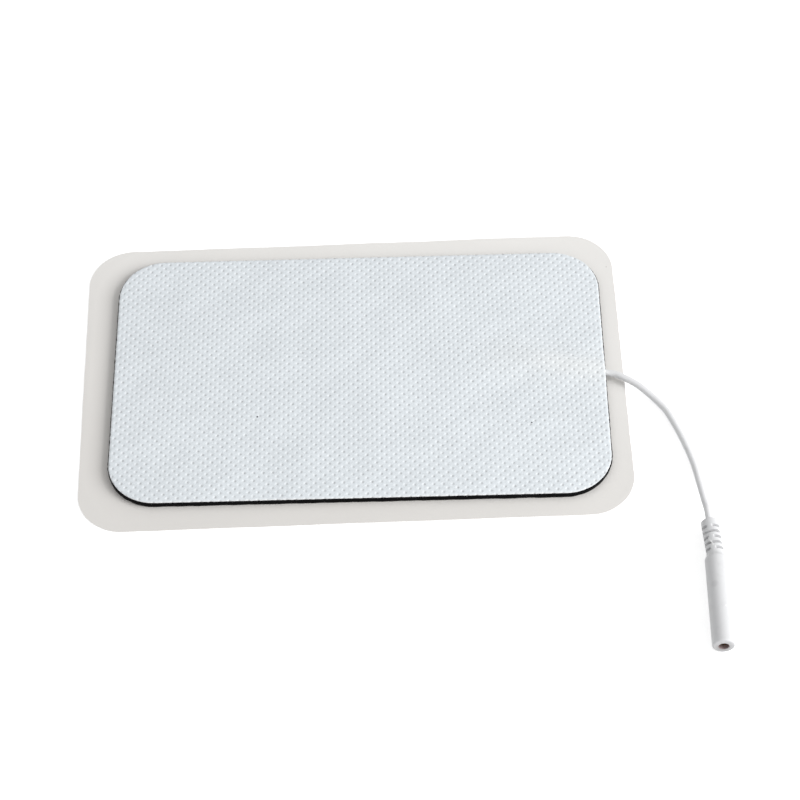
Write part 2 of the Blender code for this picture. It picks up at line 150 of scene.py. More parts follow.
def profile(radius: float | Array, run: Array) -> Array:
    """A part of a turned profile: its one radius, or its radii, at these distances from the mouth."""
    return np.column_stack(np.broadcast_arrays(radius, run))


def wrapped(rows: int, sides: int) -> tuple[Array, Array, Array, Array]:
    """Numbers of a grid's points, of the next ones round, of the next row's and of both on."""
    at = np.arange(rows * sides).reshape(rows, sides)
    beyond = np.roll(at, -1, axis=0)
    return at, np.roll(at, -1, axis=1), beyond, np.roll(beyond, -1, axis=1)


def add_object(name: str, data: bpy.types.ID) -> Piece:
    """Makes an object and links it to the scene."""
    made = bpy.data.objects.new(name, data)
    bpy.context.scene.collection.objects.link(made)
    return made


def add_piece(
    name: str, points: Array, polygons: list[Array], sharp: float = math.radians(50)
) -> Piece:
    """Makes a mesh object at the origin from arrays.

    Args:
        name: the piece's name.
        points: corners, one row each.
        polygons: arrays of corner numbers, each with one width.
        sharp: edges that turn by more than this angle are left crisp.

    Returns:
        The new object, linked to the scene.
    """
    counts = np.concatenate([np.full(len(p), p.shape[1]) for p in polygons])
    corners = np.concatenate([p.ravel() for p in polygons])
    mesh = bpy.data.meshes.new(name)
    mesh.vertices.add(len(points))
    mesh.vertices.foreach_set("co", points.astype(np.float32).ravel())
    mesh.loops.add(len(corners))
    mesh.loops.foreach_set("vertex_index", corners.astype(np.int32))
    mesh.polygons.add(len(counts))
    mesh.polygons.foreach_set("loop_start", (np.cumsum(counts) - counts).astype(np.int32))
    mesh.update(calc_edges=True)
    mesh.shade_smooth()
    mesh.set_sharp_from_angle(angle=sharp)
    return add_object(name, mesh)


def set_attribute(piece: Piece, name: str, values: Array) -> None:
    """Gives each point of a piece a number that its material can read."""
    layer = piece.data.attributes.new(name, "FLOAT", "POINT")
    layer.data.foreach_set("value", values.astype(np.float32).ravel())


def dress(piece: Piece, material: Material) -> None:
    """Puts one material on a whole piece."""
    if not piece.data.materials:
        piece.data.materials.append(material)
    for slot in piece.material_slots:
        slot.material = material


def settle(piece: Piece, material: Material, slot: str, *nodes: str) -> Piece:
    """Dresses a new piece, lets it ride on the part, and hides the CAD nodes that it stands for."""
    dress(piece, material)
    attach(piece, ROOT)
    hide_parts(*nodes)
    LOG.info("%s: %d faces, stands for %s", piece.name, len(piece.data.polygons), ", ".join(nodes))
    return piece


@dataclass(frozen=True)
class Plan:
    """A rounded rectangle on the table, turned about its centre."""

    center: Pair
    length: float
    width: float
    corner_radius: float
    turn: float = 0.0

    def _core(self, x: Array, y: Array) -> tuple[Array, Array]:
        """The nearest point of the rectangle that the corner arcs are drawn round."""
        reach_x = self.length / 2 - self.corner_radius
        reach_y = self.width / 2 - self.corner_radius
        return np.clip(x, -reach_x, reach_x), np.clip(y, -reach_y, reach_y)

    def spread(self, u: Array, v: Array) -> tuple[Array, Array]:
        """Lays a square grid on the plan, before its turn.

        Straight stretches keep an even spacing. In a corner's own square, with a and b from 0 to 1
        outwards, (a, b) goes to (a sqrt(1 - b²/2), b sqrt(1 - a²/2)), so that both outer sides of
        the square lie on the arc.

        Args:
            u: grid lines along the length, from -1 to 1.
            v: grid lines across it, from -1 to 1.

        Returns:
            x and y of each point, from the plan's centre.
        """
        x, y = u * self.length / 2, v * self.width / 2
        core_x, core_y = self._core(x, y)
        a, b = (x - core_x) / self.corner_radius, (y - core_y) / self.corner_radius
        return (
            core_x + self.corner_radius * a * np.sqrt(1 - b * b / 2),
            core_y + self.corner_radius * b * np.sqrt(1 - a * a / 2),
        )

    def outward(self, x: Array, y: Array) -> Array:
        """Unit vector out of the plan at each point of its outline, one row each."""
        core_x, core_y = self._core(x, y)
        return unit(np.column_stack([x - core_x, y - core_y]))

    def inside(self, x: Array, y: Array) -> Array:
        """Distance of each point from the outline, towards the middle."""
        q_x = np.abs(x) - self.length / 2 + self.corner_radius
        q_y = np.abs(y) - self.width / 2 + self.corner_radius
        past = np.hypot(np.maximum(q_x, 0.0), np.maximum(q_y, 0.0))
        return self.corner_radius - past - np.minimum(np.maximum(q_x, q_y), 0.0)

    def placed(self, x: Array, y: Array) -> tuple[Array, Array]:
        """Turns points about the plan's centre and moves them to it."""
        x, y = turned(x, y, self.turn)
        return self.center[0] + x, self.center[1] + y


@dataclass(frozen=True)
class CutEdge:
    """A sheet's cut edge, which wanders by a sum of sines that each fit it a whole number of times.

    Attributes:
        seed: seeds the sines' counts and phases.
        shortest: shortest wavelength.
        longest: longest wavelength.
        outset: how far the edge stands out on average.
        swing: how far it wanders to both sides of that, about.
        rows: lines round the edge, from the top down: how much further out, and how far down.
        waves: how many sines there are.
    """

    seed: int
    shortest: float
    longest: float
    outset: float
    swing: float
    rows: tuple[Pair, ...]
    waves: int = 16

    def stand(self, run: Array) -> Array:
        """How far out the edge stands.

        Args:
            run: distance along the closed edge at each point, from 0, with the whole length last.

        Returns:
            The outset at each point but the last, which is the first again.
        """
        total = run[-1]
        draw = np.random.default_rng(self.seed)
        most = int(total / self.shortest)
        turns = draw.integers(max(1, int(total / self.longest)), most, self.waves)
        phases = draw.uniform(0.0, 2 * math.pi, self.waves)
        angle = 2 * math.pi * turns[:, None] * run[None, :-1] / total + phases[:, None]
        return self.outset + self.swing * np.sin(angle).sum(axis=0) / math.sqrt(self.waves)


class Layer:
    """A closed sheet on a plan: a fine grid on top, a coarser one below, and a wall between them."""

    def __init__(
        self, plan: Plan, cells: tuple[int, int], stride: tuple[int, int], edge: CutEdge
    ) -> None:
        """Lays out both grids.

        Args:
            plan: the sheet's outline.
            cells: cells of the upper grid, along the length and across it.
            stride: upper cells to one lower cell, along and across, 2 or more each.
            edge: how the sheet is cut.
        """
        self.plan, self.edge = plan, edge
        lower = (cells[0] // stride[0], cells[1] // stride[1])
        self.sides = tuple(zip(stride * 2, lower * 2))
        self.upper_xy, self.rim, self.upper_cells = self._grid(*cells)
        self.lower_xy, self.low_rim, self.lower_cells = self._grid(*lower)
        self.upper_at, self.lower_at = plan.placed(*self.upper_xy.T), plan.placed(*self.lower_xy.T)
        self.rim_xy = self.upper_xy[self.rim]
        steps = np.diff(np.vstack([self.rim_xy, self.rim_xy[:1]]), axis=0)
        self.rim_run = np.concatenate([[0.0], np.cumsum(np.hypot(*steps.T))])

    def _grid(self, columns: int, rows: int) -> tuple[Array, Array, Array]:
        """Lays a grid over the plan.

        Returns:
            Its points, row by row, then the numbers of its outer points and of its quads' corners,
            both anticlockwise from above.
        """
        u, v = np.meshgrid(np.linspace(-1, 1, columns + 1), np.linspace(-1, 1, rows + 1))
        at = np.arange(u.size).reshape(u.shape)
        border = np.concatenate([at[0, :-1], at[:-1, -1], at[-1, :0:-1], at[:0:-1, 0]])
        quads = np.stack([at[:-1, :-1], at[:-1, 1:], at[1:, 1:], at[1:, :-1]], axis=-1)
        return np.stack(self.plan.spread(u.ravel(), v.ravel()), axis=1), border, quads.reshape(-1, 4)

    def _low_spots(self) -> list[Array]:
        """For each side, which rim points the lower grid's border points lie under."""
        found, fine = [], 0
        for step, cells in self.sides:
            found.append(fine + np.arange(cells) * step)
            fine += step * cells
        return found

    def build(self, name: str, top: Array, bottom: Array, pinch: float | Array = 0.0) -> Piece:
        """Makes the closed sheet. The lower grid's border is the wall's last row.

        Args:
            name: the piece's name.
            top: height of each upper point.
            bottom: height of each lower point.
            pinch: how far each rim point is drawn in.

        Returns:
            The new object, with the share of its edge wall in the attribute "cut_edge".
        """
        rim_count, low_rim, spots = len(self.rim), self.low_rim, self._low_spots()
        under = np.concatenate(spots)
        low_height = np.interp(
            self.rim_run[:-1],
            np.append(self.rim_run[under], self.rim_run[-1]),
            np.append(bottom[low_rim], bottom[0]),
        )
        out = self.plan.outward(*self.rim_xy.T)
        outset = (self.edge.stand(self.rim_run) - pinch)[:, None]
        drop = low_height - top[self.rim]
        rings = [self.rim_xy + out * (outset + further) for further, _ in self.edge.rows]
        ring_heights = [top[self.rim] + drop * down for _, down in self.edge.rows]
        upper = self.upper_xy.copy()
        upper[self.rim] += out * outset
        first_ring = len(upper)
        low_base = first_ring + len(rings) * rim_count
        last_ring = low_base - rim_count
        inner = np.setdiff1d(np.arange(len(bottom)), low_rim)
        low_at = np.empty(len(bottom), dtype=int)
        low_at[low_rim] = last_ring + under
        low_at[inner] = low_base + np.arange(len(inner))

        flat = np.vstack([upper, *rings, self.lower_xy[inner]])
        heights = np.concatenate([top, *ring_heights, bottom[inner]])
        points = np.column_stack([*self.plan.placed(*flat.T), heights])

        polygons, above = [self.upper_cells], self.rim
        for base in range(first_ring, low_base, rim_count):
            below = base + np.arange(rim_count)
            polygons.append(np.stack([below, np.roll(below, -1), np.roll(above, -1), above], axis=1))
            above = below
        for (step, _), starts in zip(self.sides, spots):
            foot = starts[:, None] + np.arange(step, -1, -1)[None, :]
            polygons.append(last_ring + foot % rim_count)
        polygons.append(low_at[self.lower_cells][:, ::-1])
        piece = add_piece(name, points, polygons)
        edge = np.zeros(len(points))
        edge[first_ring:low_base] = 1.0
        edge[self.rim] = 1.0
        set_attribute(piece, "cut_edge", edge)
        return piece


@dataclass(frozen=True)
class Cloud:
    """A cloudy noise.

    Attributes:
        scale: how many features there are to a metre, about.
        detail: how many finer noises are laid on it.
        roughness: how strong those are.
        turn: the direction, in plan, in which it is drawn out, turned from +X.
        stretch: how many times longer it is in that direction.
    """

    scale: Value
    detail: float = 3.0
    roughness: float = 0.5
    turn: float = 0.0
    stretch: float = 1.0


class Wiring:
    """Adds nodes to one node tree and links them."""

    # Where most of a noise's values lie
    noise_range = (0.3, 0.7)

    def __init__(self, tree: Tree) -> None:
        """Keeps the tree that nodes go to."""
        self.tree = tree

    def feed(self, socket: Socket, value: Value) -> None:
        """Links a socket to another, or sets it to a number, a vector or an opaque colour."""
        if isinstance(value, Socket):
            self.tree.links.new(value, socket)
        else:
            socket.default_value = (*value, 1.0) if socket.type == "RGBA" else value

    def node(
        self, kind: str, inputs: dict[str | int, Value] | None = None, **settings: object
    ) -> Node:
        """Adds a node.

        Args:
            kind: the node's type, without its ShaderNode prefix.
            inputs: a value or a socket for each named or numbered input.
            settings: the node's own properties.

        Returns:
            The new node.
        """
        made = self.tree.nodes.new(f"ShaderNode{kind}")
        for key, value in settings.items():
            setattr(made, key, value)
        for key, value in (inputs or {}).items():
            self.feed(made.inputs[key], value)
        return made

    def math(self, operation: str, *values: Value, clamp: bool = False) -> Socket:
        """One step of arithmetic."""
        made = self.node("Math", dict(enumerate(values)), operation=operation, use_clamp=clamp)
        return made.outputs[0]

    def times(self, first: Value, *others: Value) -> Socket:
        """The product of all these values."""
        for other in others:
            first = self.math("MULTIPLY", first, other)
        return first

    def ramp(
        self, value: Value, low: float, high: float, to_low: float = 0.0, to_high: float = 1.0
    ) -> Socket:
        """A smooth change from to_low to to_high as value goes from low to high."""
        ends = {"From Min": low, "From Max": high, "To Min": to_low, "To Max": to_high}
        settings = {"Value": value, **ends}
        return self.node("MapRange", settings, interpolation_type="SMOOTHSTEP").outputs[0]

    def uneven(self, noise: Value, low: float, high: float) -> Socket:
        """A value that noise moves between low and high."""
        return self.ramp(noise, *self.noise_range, low, high)

    def mix(self, share: Value, first: Value, second: Value, blend: str = "MIX") -> Socket:
        """A colour between two others."""
        inputs = {0: share, 6: first, 7: second}
        return self.node("Mix", inputs, data_type="RGBA", blend_type=blend).outputs[2]

    def noise(self, place: Socket, cloud: Cloud) -> Socket:
        """Cloudy noise, from 0 to 1.

        Args:
            place: the coordinates to read.
            cloud: what the noise is like. Where it is drawn out, the coordinates are turned so that
                the direction is their X, and then divided along it.

        Returns:
            The noise.
        """
        if cloud.stretch != 1.0:
            turn, scale = (0.0, 0.0, cloud.turn), (cloud.stretch, 1.0, 1.0)
            inputs = {"Vector": place, "Rotation": turn, "Scale": scale}
            place = self.node("Mapping", inputs, vector_type="TEXTURE").outputs[0]
        inputs = {"Vector": place, "Scale": cloud.scale}
        inputs |= {"Detail": cloud.detail, "Roughness": cloud.roughness}
        return self.node("TexNoise", inputs).outputs[0]

    def mask(self, group: Tree, **inputs: Value) -> Socket:
        """The mask of a node group, with its inputs by name."""
        return self.node("Group", inputs, node_tree=group).outputs["Mask"]

    def object_place(self) -> Socket:
        """Object coordinates, in metres."""
        return self.node("TexCoord").outputs["Object"]

    def attribute(self, name: str) -> Socket:
        """A number that the piece's points carry."""
        return self.node("Attribute", attribute_name=name).outputs["Fac"]


class MaskGroup(Wiring):
    """A shader node group that gives one mask."""

    def __init__(self, name: str, **inputs: str) -> None:
        """Starts the group.

        Args:
            name: the group's name.
            inputs: socket type of each input.
        """
        super().__init__(bpy.data.node_groups.new(name, "ShaderNodeTree"))
        add_socket = self.tree.interface.new_socket
        for key, kind in inputs.items():
            add_socket(name=key, in_out="INPUT", socket_type=f"NodeSocket{kind}")
        add_socket(name="Mask", in_out="OUTPUT", socket_type="NodeSocketFloat")
        self.given = self.tree.nodes.new("NodeGroupInput").outputs
        self.end = self.tree.nodes.new("NodeGroupOutput")

    def give(self, mask: Socket) -> Tree:
        """Puts the mask out, which ends the group."""
        self.feed(self.end.inputs["Mask"], mask)
        return self.tree


class Effects:
    """Node groups that several materials share, each built once."""

    # The grain's broad part: its scale next to the fine part's, and how much of the grain it is
    broad_scale: float = 0.13
    broad_share: float = 0.4
    # The share of its radius within which a spot is full
    spot_core: float = 0.35

    def __init__(self) -> None:
        """Builds the groups."""
        self.grain, self.specks, self.spot = self._grain(), self._specks(), self._spot()

    def _grain(self) -> Tree:
        """Fine unevenness of a moulded or coated surface, as a mask round 0.5."""
        group = MaskGroup("surface_grain", Place="Vector", Scale="Float")
        place, scale = group.given["Place"], group.given["Scale"]
        fine = group.noise(place, Cloud(scale, detail=4.0, roughness=0.6))
        broad = group.noise(place, Cloud(group.times(scale, self.broad_scale), detail=2.0))
        shares = (group.times(fine, 1 - self.broad_share), group.times(broad, self.broad_share))
        return group.give(group.math("ADD", *shares))

    def _specks(self) -> Tree:
        """Sparse tiny specks of dust: the near middles of a few cells of a cell pattern."""
        group = MaskGroup("dust_specks", Place="Vector", Scale="Float", Share="Float", Size="Float")
        given = group.given
        cells = group.node("TexVoronoi", {"Vector": given["Place"], "Scale": given["Scale"]})
        chosen = group.node("SeparateColor", {0: cells.outputs["Color"]}).outputs[0]
        picked = group.math("LESS_THAN", chosen, given["Share"])
        near = group.math("LESS_THAN", cells.outputs["Distance"], given["Size"])
        return group.give(group.times(picked, near))

    def _spot(self) -> Tree:
        """One soft round mark: 1 at its middle, and 0 from its radius on."""
        group = MaskGroup("single_spot", Place="Vector", Middle="Vector", Radius="Float")
        ends = {0: group.given["Place"], 1: group.given["Middle"]}
        far = group.node("VectorMath", ends, operation="DISTANCE").outputs["Value"]
        share = group.math("DIVIDE", far, group.given["Radius"])
        return group.give(group.ramp(share, self.spot_core, 1.0, 1.0, 0.0))


@dataclass(frozen=True)
class Grain:
    """How a surface's grain looks: its scale, its roughness between two values, and its bump."""

    scale: float
    rough: Pair
    strength: float
    depth: float


@dataclass(frozen=True)
class Mark:
    """A small soft round mark: its middle, its radius, its colour and how strong it is."""

    middle: Point
    radius: float
    color: Color
    share: float = 1.0


class Surface(Wiring):
    """A new material, with the wiring of its Principled shader."""

    def __init__(self, name: str) -> None:
        """Starts a material of this name."""
        self.material = bpy.data.materials.new(name)
        self.material.use_nodes = True
        super().__init__(self.material.node_tree)
        self.shader = self.tree.nodes["Principled BSDF"]

    def finish(self, **inputs: Value) -> Material:
        """Sets or links the shader's sockets, whose names are given with underscores."""
        for key, value in inputs.items():
            self.feed(self.shader.inputs[key.replace("_", " ")], value)
        return self.material

    def bump(self, height: Value, depth: float, strength: float = 1.0) -> Socket:
        """A normal that shows this height, of which 1 is this deep."""
        inputs = {"Strength": strength, "Distance": depth, "Height": height}
        return self.node("Bump", inputs).outputs["Normal"]

    def grained(self, mask: Socket, grain: Grain, **inputs: Value) -> Material:
        """Sets the roughness and the bump by a grain's mask, and the other sockets as given."""
        normal = self.bump(mask, grain.depth, grain.strength)
        return self.finish(Roughness=self.uneven(mask, *grain.rough), Normal=normal, **inputs)

    def marked(
        self, effects: Effects, place: Socket, color: Value, marks: tuple[Mark, ...]
    ) -> Socket:
        """Lays soft round marks on a colour, one after another."""
        for mark in marks:
            spot = self.mask(effects.spot, Place=place, Middle=mark.middle, Radius=mark.radius)
            color = self.mix(self.times(spot, mark.share), color, mark.color)
        return color


@dataclass(frozen=True)
class Emboss:
    """The fabric's pressed dots: a square lattice set on its corner.

    A dot lies wherever x and y, over their pitch, are whole numbers with an even sum, counted
    from the pad's lower left corner.
    """

    origin: Pair
    pitch: Pair
    dot_depth: float = 0.06 * MM
    crease_depth: float = 0.165 * MM
    dot_radius: float = 0.33 * MM

    def dots(self, x: Array, y: Array) -> Array:
        """How deep in a dot each point lies: a bell curve of its distance from the nearest dot."""
        p, q = (x - self.origin[0]) / self.pitch[0], (y - self.origin[1]) / self.pitch[1]
        rising, falling = (row - np.round(row) for row in ((p + q) / 2, (p - q) / 2))
        away = np.hypot(self.pitch[0] * (rising + falling), self.pitch[1] * (rising - falling))
        return np.exp(-((away / self.dot_radius) ** 2))

    def mask(self, wiring: Wiring, place: Socket) -> Socket:
        """The same from object coordinates, as nodes."""
        split = wiring.node("SeparateXYZ", {0: place}).outputs
        steps = [
            wiring.math("DIVIDE", wiring.math("SUBTRACT", split[axis], start), pitch)
            for axis, start, pitch in zip("XY", self.origin, self.pitch)
        ]
        offsets = []
        for operation in ("ADD", "SUBTRACT"):
            row = wiring.times(wiring.math(operation, *steps), 0.5)
            offsets.append(wiring.math("SUBTRACT", row, wiring.math("ROUND", row)))
        squares = [
            wiring.math("POWER", wiring.times(wiring.math(operation, *offsets), pitch), 2.0)
            for operation, pitch in zip(("ADD", "SUBTRACT"), self.pitch)
        ]
        bell = wiring.times(wiring.math("ADD", *squares), -1.0 / self.dot_radius**2)
        return wiring.math("EXPONENT", bell)


@dataclass(frozen=True)
class Pocket:
    """The room that the layers leave round the lead and its strands."""

    exit: Pair
    turn: float = math.radians(-13)
    jacket_inside: float = 12 * MM
    run_out: float = 5 * MM
    lead_sink: float = 0.8 * MM
    lead_rise: float = 1.08 * MM
    dip_half_width: float = 1.6 * MM
    tent_half_width: float = 6.5 * MM
    tent_run_out: float = 22 * MM
    fan_length: float = 22 * MM
    fan_start_half_width: float = 8 * MM
    fan_spread: float = 4 * MM
    fan_rise: float = 0.44 * MM
    white_half_width: float = 5 * MM
    white_run_out: float = 14 * MM
    fan_white: float = 0.40
    fan_white_half_width: float = 11 * MM

    def along_across(self, x: Array, y: Array) -> tuple[Array, Array]:
        """Distance of each point inwards past the jacket's end, and to the lead's side."""
        out, across = turned(x - self.exit[0], y - self.exit[1], -self.turn)
        return -out - self.jacket_inside, across

    def dip(self, x: Array, y: Array) -> Array:
        """How far the lead presses the film and the gel down."""
        past, across = self.along_across(x, y)
        return (
            self.lead_sink * smooth_fall(past, self.run_out) * trough(across, self.dip_half_width)
        )

    def rise(self, x: Array, y: Array) -> Array:
        """How far the fabric is raised: a low broad swell over the strands, and one over the lead.

        Both run on past what they cover, so that neither shows where it ends.
        """
        past, across = self.along_across(x, y)
        spread = np.clip(past / self.fan_length, 0.0, 1.0)
        fan = smooth_fall(past - self.fan_length, self.tent_run_out)
        fan = fan * swell(across, self.fan_start_half_width + spread * self.fan_spread)
        lead = smooth_fall(past, self.tent_run_out) * swell(across, self.tent_half_width)
        return fan * self.fan_rise + lead * (self.lead_rise - self.fan_rise)

    def under_fabric(self, x: Array, y: Array) -> Array:
        """How much white lies under the fabric, so that no black shows through.

        A narrow band over the lead, and a broad faint one over the strands, added so that neither
        takes the other past 1.
        """
        past, across = self.along_across(x, y)
        lead = smooth_fall(past, self.white_run_out) * swell(across, self.white_half_width)
        broad = smooth_fall(past - self.jacket_inside, self.white_run_out)
        broad = broad * swell(across, self.fan_white_half_width)
        return lead + (1.0 - lead) * self.fan_white * broad


@dataclass(frozen=True)
class FabricFinish:
    """Pale cool non-woven: fine fibres, fused dots that show the black film, and a few specks.

    Round each dot the fibres are bunched and whiter: four times the dot's depth times what it
    leaves to 1, which is greatest half-way down.
    """

    emboss: Emboss
    color: Color = (0.826, 0.876, 0.914)
    lead_color: Color = (0.878, 0.912, 0.930)
    dot_color: Color = (0.520, 0.560, 0.600)
    rim_color: Color = (0.980, 0.990, 1.000)
    rim_share: float = 0.32
    edge_color: Color = (0.900, 0.915, 0.930)
    edge_share: float = 0.8
    fibres: Cloud = Cloud(4200.0, 3.0, 0.55, turn=math.radians(42), stretch=4.5)
    cross_fibres: Cloud = Cloud(5200.0, 2.0, turn=math.radians(-25), stretch=3.3)
    cross_share: float = 0.35
    fibre_shades: Pair = (0.90, 1.075)
    fibre_relief: float = 0.18
    blotches: Cloud = Cloud(210.0, 3.0, 0.55, turn=math.radians(42), stretch=2.2)
    blotch_shades: Pair = (0.966, 1.024)
    uneven_pressing: Cloud = Cloud(520.0, 2.0)
    pressing: Pair = (0.70, 1.25)
    see_through: float = 0.20
    see_through_power: float = 2.2
    hidden_by_lead: float = 0.3
    rough: Pair = (0.78, 0.50)
    specular: float = 0.35
    sheen: float = 0.08
    speck_color: Color = (0.035, 0.032, 0.040)
    specks: tuple[tuple[Pair, float], ...] = (
        ((-25.1 * MM, -13.6 * MM), 0.36 * MM),
        ((46.4 * MM, -17.6 * MM), 0.30 * MM),
    )

    def material(self, effects: Effects, height: float) -> Material:
        """Builds the material.

        Args:
            effects: the shared node groups.
            height: the fabric's upper face, on which the specks lie.

        Returns:
            The fabric's material.
        """
        surface = Surface("non_woven_back")
        place = surface.object_place()
        whole_dots = self.emboss.mask(surface, place)
        over_lead = surface.attribute("over_lead")

        crossing = surface.noise(place, self.cross_fibres)
        fibres = surface.times(surface.noise(place, self.fibres), 1 - self.cross_share)
        fibres = surface.math("MULTIPLY_ADD", crossing, self.cross_share, fibres)
        blotch = surface.noise(place, self.blotches)
        tint = surface.mix(over_lead, self.color, self.lead_color)
        shade = surface.times(
            surface.uneven(fibres, *self.fibre_shades), surface.uneven(blotch, *self.blotch_shades)
        )
        grey = surface.node("CombineColor", {0: shade, 1: shade, 2: shade}).outputs[0]
        cloth = surface.mix(1.0, tint, grey, "MULTIPLY")

        pressing = surface.uneven(surface.noise(place, self.uneven_pressing), *self.pressing)
        left = surface.math("SUBTRACT", 1.0, whole_dots)
        bunched = surface.times(whole_dots, left, pressing, 4 * self.rim_share)
        cloth = surface.mix(bunched, cloth, self.rim_color)
        dots = surface.times(whole_dots, pressing)
        shown = surface.times(surface.math("POWER", dots, self.see_through_power), self.see_through)
        kept = surface.math("MULTIPLY_ADD", over_lead, -self.hidden_by_lead, 1.0)
        shown = surface.math("MULTIPLY", shown, kept, clamp=True)
        cloth = surface.mix(shown, cloth, self.dot_color)
        edge = surface.times(surface.attribute("cut_edge"), self.edge_share)
        cloth = surface.mix(edge, cloth, self.edge_color)
        marks = [Mark((*spot, height), radius, self.speck_color) for spot, radius in self.specks]
        cloth = surface.marked(effects, place, cloth, tuple(marks))

        relief = surface.math("SUBTRACT", surface.times(fibres, self.fibre_relief), dots)
        return surface.finish(
            Base_Color=cloth,
            Roughness=surface.ramp(dots, 0.0, 1.0, *self.rough),
            Normal=surface.bump(relief, self.emboss.crease_depth),
            Specular_IOR_Level=self.specular,
            Sheen_Weight=self.sheen,
        )


@dataclass(frozen=True)
class BlackFinish:
    """A black layer: the smooth carbon film, or the wet gel that looks black against it."""

    name: str
    color: Color
    paler_color: Color
    haze: Pair
    grain: Grain
    specular: float

    def material(self, effects: Effects) -> Material:
        """Builds the material, greyer where its grain is high."""
        surface = Surface(self.name)
        place = surface.object_place()
        grain = surface.mask(effects.grain, Place=place, Scale=self.grain.scale)
        color = surface.mix(surface.ramp(grain, *self.haze), self.color, self.paler_color)
        return surface.grained(
            grain, self.grain, Base_Color=color, Specular_IOR_Level=self.specular
        )


FILM = BlackFinish(
    name="carbon_film_black",
    color=(0.003, 0.003, 0.0035),
    paler_color=(0.0066, 0.0066, 0.0077),
    haze=(0.35, 0.7),
    grain=Grain(2600.0, (0.50, 0.66), 0.3, 0.02 * MM),
    specular=0.06,
)
GEL = BlackFinish(
    name="clear_gel",
    color=(0.0022, 0.0022, 0.0028),
    paler_color=(0.007, 0.007, 0.008),
    haze=(0.45, 0.75),
    grain=Grain(900.0, (0.22, 0.36), 0.5, 0.08 * MM),
    specular=0.04,
)


@dataclass(frozen=True)
class LinerFinish:
    """Thin clear film with a warm milky haze, and painted light: it grows paler towards one corner."""

    color: Color = (0.872, 0.850, 0.820)
    # Painted light: the colour towards the side that the lamp lights more
    paler_color: Color = (0.968, 0.952, 0.925)
    painted_light_turn: float = math.radians(68)
    painted_light_reach: float = 45 * MM
    haze_wander: float = 10 * MM
    haze: Cloud = Cloud(38.0, 3.0, 0.45)
    opacity: float = 0.92
    speck_color: Color = (0.30, 0.27, 0.24)
    speck_share: float = 0.6
    # The cells in which specks may lie, to a metre, the share that has one, and how big it is there
    speck_cells: float = 260.0
    speck_cells_share: float = 0.035
    speck_size: float = 0.045
    grain: Grain = Grain(1500.0, (0.30, 0.42), 0.25, 0.03 * MM)

    def material(self, effects: Effects) -> Material:
        """Builds the material: unevenly painted light, a soft gloss and a few specks of dust."""
        surface = Surface("release_film")
        place = surface.object_place()
        direction = (math.cos(self.painted_light_turn), math.sin(self.painted_light_turn), 0.0)
        product = surface.node("VectorMath", {0: place, 1: direction}, operation="DOT_PRODUCT")
        cloud = surface.noise(place, self.haze)
        uneven = surface.math("MULTIPLY_ADD", cloud, 2 * self.haze_wander, -self.haze_wander)
        towards = surface.math("ADD", product.outputs["Value"], uneven)
        # Painted light: share of the paler colour, which grows towards the more lit side
        haze = surface.ramp(towards, -self.painted_light_reach, self.painted_light_reach)
        color = surface.mix(haze, self.color, self.paler_color)
        cells = {"Scale": self.speck_cells, "Share": self.speck_cells_share}
        dust = surface.mask(effects.specks, Place=place, Size=self.speck_size, **cells)
        color = surface.mix(surface.times(dust, self.speck_share), color, self.speck_color)
        grain = surface.mask(effects.grain, Place=place, Scale=self.grain.scale)
        return surface.grained(grain, self.grain, Base_Color=color, Alpha=self.opacity)


@dataclass(frozen=True)
class PlasticFinish:
    """Satin white plastic, with the faint greying of handling."""

    name: str
    color: Color
    grey_color: Color
    grain: Grain
    marks: tuple[Mark, ...] = ()
    handling: Cloud = Cloud(420.0, 3.0, 0.6)
    handled: Pair = (0.5, 0.8)
    grey_share: float = 0.5
    # Painted shade: a grey laid where the piece marks its slots and the shaded side of the mouth's rim
    painted_shade_color: Color = (0.38, 0.37, 0.37)
    painted_shade_share: float = 0.8
    # Painted shade: a dark brown that stands in for the shade inside the bore
    painted_bore_shade_color: Color = (0.290, 0.225, 0.225)
    specular: float = 0.45

    def material(self, effects: Effects) -> Material:
        """Builds the material: soft greying, fine grain, any small marks, and painted shade."""
        surface = Surface(self.name)
        place = surface.object_place()
        grain = surface.mask(effects.grain, Place=place, Scale=self.grain.scale)
        handled = surface.ramp(surface.noise(place, self.handling), *self.handled)
        handled = surface.times(handled, self.grey_share)
        color = surface.mix(handled, self.color, self.grey_color)
        color = surface.marked(effects, place, color, self.marks)
        # Painted shade in the slots and on the mouth's rim
        painted_shade = surface.times(surface.attribute("painted_shade"), self.painted_shade_share)
        color = surface.mix(painted_shade, color, self.painted_shade_color)
        # Painted shade inside the bore
        color = surface.mix(surface.attribute("bore"), color, self.painted_bore_shade_color)
        return surface.grained(
            grain, self.grain, Base_Color=color, Specular_IOR_Level=self.specular
        )


TARNISH = Cloud(900.0, 3.0, 0.6)
TARNISHED = (0.45, 0.75)


class Metal(Enum):
    """The conductor's and the contact's metals: colour, tarnished colour and grain."""

    BRASS = (
        (0.72, 0.50, 0.22),
        (0.38, 0.22, 0.09),
        Grain(3000.0, (0.20, 0.38), 0.2, 0.01 * MM),
    )
    TINNED_COPPER = (
        (0.66, 0.64, 0.61),
        (0.48, 0.44, 0.40),
        Grain(3000.0, (0.26, 0.44), 0.2, 0.01 * MM),
    )

    def material(self, effects: Effects) -> Material:
        """Builds the metal, with uneven tarnish."""
        color, tarnish, look = self.value
        surface = Surface(self.name.lower())
        place = surface.object_place()
        grain = surface.mask(effects.grain, Place=place, Scale=look.scale)
        dull = surface.ramp(surface.noise(place, TARNISH), *TARNISHED)
        blended = surface.mix(dull, color, tarnish)
        return surface.grained(grain, look, Base_Color=blended, Metallic=1.0)


